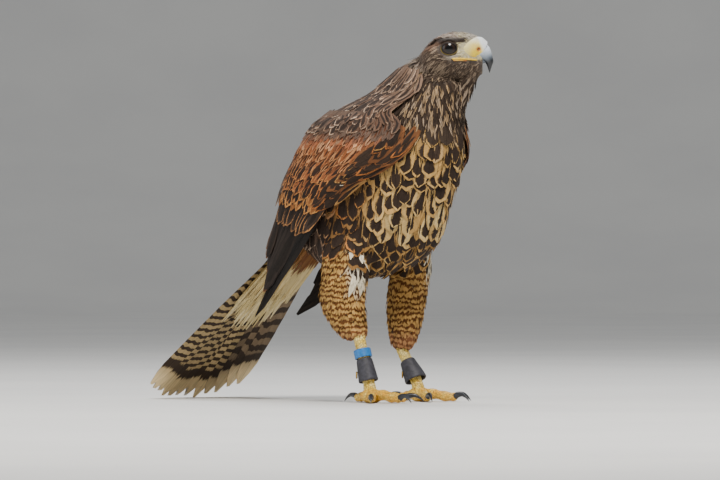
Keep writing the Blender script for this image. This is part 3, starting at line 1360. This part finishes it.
def lower_bill_piece(paint):
    """A shallow trough under the hook, yellow-brown turning slate towards its tip."""
    at = runs(LOWER_BILL, "x")

    def surface(u, v):
        x = lerp((LOWER_BILL["x"][0], LOWER_BILL["x"][-1]), v)
        up = np.sin(ROUND * u)
        z = LOWER_BILL_TOP + np.where(up > 0, 0.5, LOWER_BILL_TOP - at["bottom"](x)) * up
        return from_head(xyz(x, at["half"](x) * np.cos(ROUND * u), z))

    piece = solid("bill_lower", tube(surface, 40, 40), paint, "bill", "lower_bill")
    colour_by(piece, lambda x, y, z: blend(tint("cdb55e"), tint("59616b"), smooth(x, 26, 33)))


def eye(name, side):
    """A moist ball behind the lids' opening, deep brown with a black pupil."""
    reach = run([0, 0.78, 0.86, 1], [0.01, 1.12, 1.12, 0.01])
    sunk = run([0, 0.78, 0.86, 1], [0, 0, 3.5, 5])

    def surface(u, v):
        x = EYE["wide"] * reach(v) * np.cos(ROUND * u)
        z = EYE["high"] * reach(v) * np.sin(ROUND * u)
        ball = np.sqrt(np.clip(EYE["radius"] ** 2 - x**2 - z**2, 0, None)) + EYE["y"]
        return from_head(xyz(EYE["x"] + x, side * (ball - sunk(v)), EYE["z"] + z))

    paint = painted("eye", Roughness=0.12, Specular_IOR_Level=0.25, Coat_Weight=0.35, Coat_Roughness=0.02)
    piece = solid("eye_ball_" + name, tube(surface, 64, 64), paint, "eyes", "eye_" + name)

    def colours(x, y, z):
        off = np.hypot(x - EYE["x"], z - EYE["z"])
        iris = blend(tint("24150c"), tint("100a07"), smooth(off, 4.6, 6.4))
        return blend(tint("040303"), iris, smooth(off, 3.3, 3.8))

    colour_by(piece, colours)


def lids(name, side):
    """A rim that hugs the ball and slopes out to the small feathers round it."""
    scale = run([0, 0.2, 0.4, 1], [0.93, 1.0, 1.12, 1.85])
    proud = run([0, 0.12, 0.25, 0.45, 1], [-1.0, 0.45, 0.7, 0.1, -1.6])

    def surface(u, v):
        turn = ROUND * u
        x = EYE["wide"] * scale(v) * np.cos(turn)
        z = EYE["high"] * scale(v) * np.sin(turn)
        ball = np.sqrt(np.clip(EYE["radius"] ** 2 - x**2 - z**2, 20, None)) + EYE["y"]
        head = head_side(EYE["x"] + x, EYE["z"] + z) - COAT["head"]
        y = ball + (np.maximum(head, 14) - ball) * smooth(v, 0.25, 0.95) + proud(v)
        return from_head(xyz(EYE["x"] + x, side * y, EYE["z"] + z))

    def colours(x, y, z):
        off = off_eye(x, z)
        below = 1 - smooth(z - EYE["z"] + 0.25 * (x - EYE["x"]), -3.5, 1.5)
        ring = smooth(off, 1.06, 1.1) * (1 - smooth(off, 1.13, 1.19)) * below * 0.75
        outer = blend(tint("3a2d24"), tint("c9bd92"), smooth(x, 7, 11) * smooth(5 - z, 0, 4))
        rim = blend(tint("1c140f"), outer, smooth(off, 1.06, 1.22))
        return blend(rim, tint("b39a40"), ring)

    piece = outward(mesh_object("lids_" + name, *sheet(surface, 32, 80)))
    wear(piece, painted("lids", Roughness=0.55))
    colour_by(piece, colours)


# Each lip's drop below the gape, thickness, colour, and how many of the gape's points it has
LIPS = (("upper", 0.0, 1.05, "eec43a", 5), ("lower", 1.5, 0.7, "b86430", 3))


def lips(name, side):
    """The fleshy edges of the mouth, yellow above and orange below."""
    for lip, drop, thick, code, last in LIPS:
        x = np.array(GAPE["x"][:last]) + 0.8 * drop
        z = np.array(GAPE["z"][:last]) - drop + 0.5 * np.sin(x / 5)
        y = side * (head_side(x, z) * (1 - PINCH * 0.8 * smooth(x, 17, 30)) - 0.6)
        line = from_head(np.stack([x, y, z], axis=-1))

        def radius(v, angle):
            return thick * (1 - 0.35 * v) * dome(v, 0.12) * dome(1 - v, 0.1)

        piece = outward(mesh_object(f"lip_{lip}_{name}", *limb(line, radius, 40, 14)))
        wear(piece, tinted("lip_" + lip, code, "d9b23c", 500, 0.1, Roughness=0.4))


def leg_paint(name, code, second):
    """Yellow skin with scutes: each plate's edge is a dark groove."""
    paint = Paint(name, Roughness=0.45)
    scales = paint.cells(paint.place(), 420)
    groove = paint.smooth(scales, 0.0, 0.12)
    mottle = paint.noise(paint.place(), 160, 3.0)
    plate = paint.mix(rgba(code), rgba(second), paint.smooth(mottle, 0.35, 0.65))
    paint.feed("Base Color", paint.mix(rgba("9a6a1c"), plate, groove))
    paint.bump(groove, 0.4)
    return paint


SHANK_RADIUS = run([0, 0.3, 0.8, 0.92, 1], [6.4, 5.5, 5.5, 6.2, 7.2])


def shank(name, paint):
    def radius(v, angle):
        plates = np.abs(np.sin(v * 38)) ** 0.6
        return SHANK_RADIUS(v) * (0.97 + 0.04 * plates)

    solid("shank_skin_" + name, limb(SHANK[name], radius, 120, 32), paint, "bare_skin", "shank_" + name)


def toe_line(name, toe, heights, reach=1.0):
    turn = np.radians(toe["turn"]) * -SIDES[name]
    way = np.array([np.cos(turn), np.sin(turn), 0])
    foot = np.array([*FOOT[name], 0])
    shares = np.array([0, 0.35, 0.7, 1]) * reach
    return np.array([foot + way * toe["length"] * s + [0, 0, z] for s, z in zip(shares, heights)]), way


def foot(name, paint):
    """A low palm and four toes, with ridged plates on top and round pads below."""
    def palm(u, v):
        off, turn = np.pi * (0.01 + 0.98 * v), ROUND * u
        ball = xyz(12 * np.sin(off) * np.cos(turn), 10.5 * np.sin(off) * np.sin(turn), 7 * np.cos(off))
        return ball + np.array([*FOOT[name], 6.6])

    bodies = [tube(palm, 24, 32)]
    for toe in TOES.values():
        line, _ = toe_line(name, toe, [8, 7.4, 5.2, 4.4])
        count = toe["length"] / 2.6

        def radius(v, angle):
            pads = 1 + 0.09 * np.cos(ROUND * 3 * v)
            plates = 1 + 0.05 * np.abs(np.sin(np.pi * count * v)) * np.clip(np.sin(angle), 0, 1)
            return lerp((4.9, 3.9), v) * pads * plates * dome(1.001 - v, 0.12)

        bodies.append(limb(line, radius, 90, 24))
    solid("foot_skin_" + name, join(bodies), paint, "bare_skin", "foot_" + name)


def claws(name, paint):
    for kind, toe in TOES.items():
        _, way = toe_line(name, toe, [0, 0, 0, 0])
        end = np.array([*FOOT[name], 0]) + way * toe["length"]
        marks = ((0, 5.4), (0.22, 7.0), (0.45, 7.4), (0.75, 5.2), (1, 0.9))
        line = [end + way * (toe["claw"] * share - 2) + [0, 0, z] for share, z in marks]
        points = limb(line, lambda v, angle: 3.0 * (1 - 0.93 * v**1.2), 48, 20)
        solid(f"talon_{kind}_{name}", points, paint, "claws", f"claw_{kind}_{name}")


def band_round(name, start, end, outer, inner):
    """A closed band round the shank, its section a flat loop with round corners."""
    def surface(u, v):
        turn = ROUND * v[:, 0]
        place = 0.5 - 0.5 * np.cos(turn)
        middle, across, up = path_frames(SHANK[name], lerp((start, end), place))
        face = np.clip(2.2 * np.sin(turn), -1, 1)
        radius = (outer(place) + inner(place)) / 2 + (outer(place) - inner(place)) / 2 * face
        return middle[:, None] + ring_point(ROUND * u, radius[:, None], across[:, None], up[:, None])

    return sheet(surface, 64, 64, looped=True)


def cuff(name, paint):
    """A leather anklet that flares towards the foot."""
    size = CUFF[name]
    widths = [size["top"], size["top"] + 0.3, size["foot"] - 0.2, size["foot"]]
    outer = run([0, 0.08, 0.92, 1], widths)
    points = band_round(name, size["from"], size["to"], outer, lambda v: outer(v) - LEATHER)
    solid("anklet_" + name, points, paint, "cuffs", "cuff_" + name)


def eyelet(name, paint):
    """A small brass ring flat on the cuff's back."""
    size, up = CUFF[name], np.array([0, 0, 1])
    at = lerp((size["from"], size["to"]), EYELET["down"])
    middle, _, _ = path_frames(SHANK[name], np.array([at]))
    turn = np.radians(EYELET["turn"])
    out = np.array([np.cos(turn), np.sin(turn), 0])
    reach = lerp((size["top"], size["foot"]), EYELET["down"] ** 2) + EYELET["proud"]

    def surface(u, v):
        wide = EYELET["radius"] + EYELET["wire"] * np.cos(ROUND * v)
        thick = EYELET["wire"] * np.sin(ROUND * v)
        flat = ring_point(ROUND * u, wide, np.cross(out, up), up)
        return middle[0] + flat + (reach + thick)[..., None] * out

    points = sheet(surface, 16, 40, looped=True)
    solid("eyelet_ring_" + name, points, paint, "eyelets", "eyelet_" + name)


def fittings():
    leather = tinted("leather", "26252b", "3b3a42", 300, 0.3, Roughness=0.6)
    brass = tinted("brass", "b3924a", "8a6a32", 400, 0.05, Roughness=0.32, Metallic=1.0)
    plastic = tinted("ring", "1b63a6", "2b78ba", 900, 0.05, Roughness=0.35)
    for name in SIDES:
        cuff(name, leather)
        eyelet(name, brass)
    walls = [run([0, 1], [RING[wall], RING[wall]]) for wall in ("radius", "bore")]
    points = band_round("right", RING["from"], RING["to"], *walls)
    solid("band", points, plastic, "leg_ring", "leg_ring")


# The room

def floor():
    """A pale round floor that curves up into a wall far outside the camera's place."""
    steps = [0, 0.7, 0.8, 0.9, 1]
    reach, rise = run(steps, [0.02, 8.0, 9.4, 10.5, 11.0]), run(steps, [0, 0, 0.4, 1.7, 5.0])

    def surface(u, v):
        return xyz(reach(v) * np.cos(ROUND * u), reach(v) * np.sin(ROUND * u), rise(v)) / MM - SHIFT

    cols = 96
    points, faces = sheet(surface, 60, cols)
    middle = list(reversed(range(cols)))
    piece = mesh_object("floor", points, [*faces.tolist(), middle], ride=False)
    paint = tinted("floor", "e4e3e0", "dedddb", 3, 0.02, Roughness=0.8)
    piece.data.materials.append(paint.material)


def light(name, place, aim, size, power, colour):
    lamp = bpy.data.lights.new(name, "AREA")
    lamp.shape, lamp.size, lamp.energy, lamp.color = "DISK", size, power, colour
    piece = bpy.data.objects.new(name, lamp)
    piece.location = place
    piece.rotation_euler = (Vector(aim) - Vector(place)).to_track_quat("-Z", "Y").to_euler()
    bpy.context.scene.collection.objects.link(piece)


def studio():
    """Soft light from above and before, a wide fill, and a pale room."""
    middle = (0.07, -0.02, 0.16)
    light("key", (1.5, -1.0, 2.3), middle, 0.9, 92, (1.0, 0.97, 0.92))
    light("fill", (-0.9, -2.3, 0.9), middle, 1.8, 16, (0.92, 0.96, 1.0))
    light("top", (-0.8, 0.8, 2.4), middle, 1.4, 34, (1.0, 1.0, 1.0))
    world = bpy.data.worlds.new("room")
    world.use_nodes = True
    sky = world.node_tree.nodes["Background"]
    sky.inputs[0].default_value = (0.86, 0.88, 0.9, 1)
    sky.inputs[1].default_value = 0.5
    bpy.context.scene.world = world


def camera():
    """Level with the bird's middle, looking at its right front quarter."""
    lens = bpy.data.cameras.new("camera")
    lens.lens, lens.sensor_width = 368.4, 36
    piece = bpy.data.objects.new("camera", lens)
    aim = Vector(metres(np.array([-16.8, -16.8, 153.9])))
    piece.location = aim + Vector((0.7071, -0.7071, 0.0)) * 7.0
    piece.rotation_euler = (aim - piece.location).to_track_quat("-Z", "Y").to_euler()
    bpy.context.scene.collection.objects.link(piece)
    bpy.context.scene.camera = piece


def bird():
    feather = feather_paint()
    trousers = feather_paint("trousers", waves=5.6)
    skin = skin_piece()
    for name in LAYERS:
        body_layer(name, skin, feather)
    throat_coat(skin, feather)
    head_coat(skin, feather)
    for name, side in SIDES.items():
        thigh_coat(skin, name, trousers)
        wing(name, side, feather)
    tail(feather)
    cere_piece()
    lower_bill_piece(upper_bill_piece())
    shin = leg_paint("shin", "ecc94f", "f4e08c")
    toes = leg_paint("toes", "efb02e", "f5cf5e")
    horn = tinted("horn", "17181d", "2d3036", 250, 0.1, Roughness=0.3)
    for name, side in SIDES.items():
        eye(name, side)
        lids(name, side)
        lips(name, side)
        shank(name, shin)
        foot(name, toes)
        claws(name, horn)
    fittings()


bird()
floor()
studio()
camera()
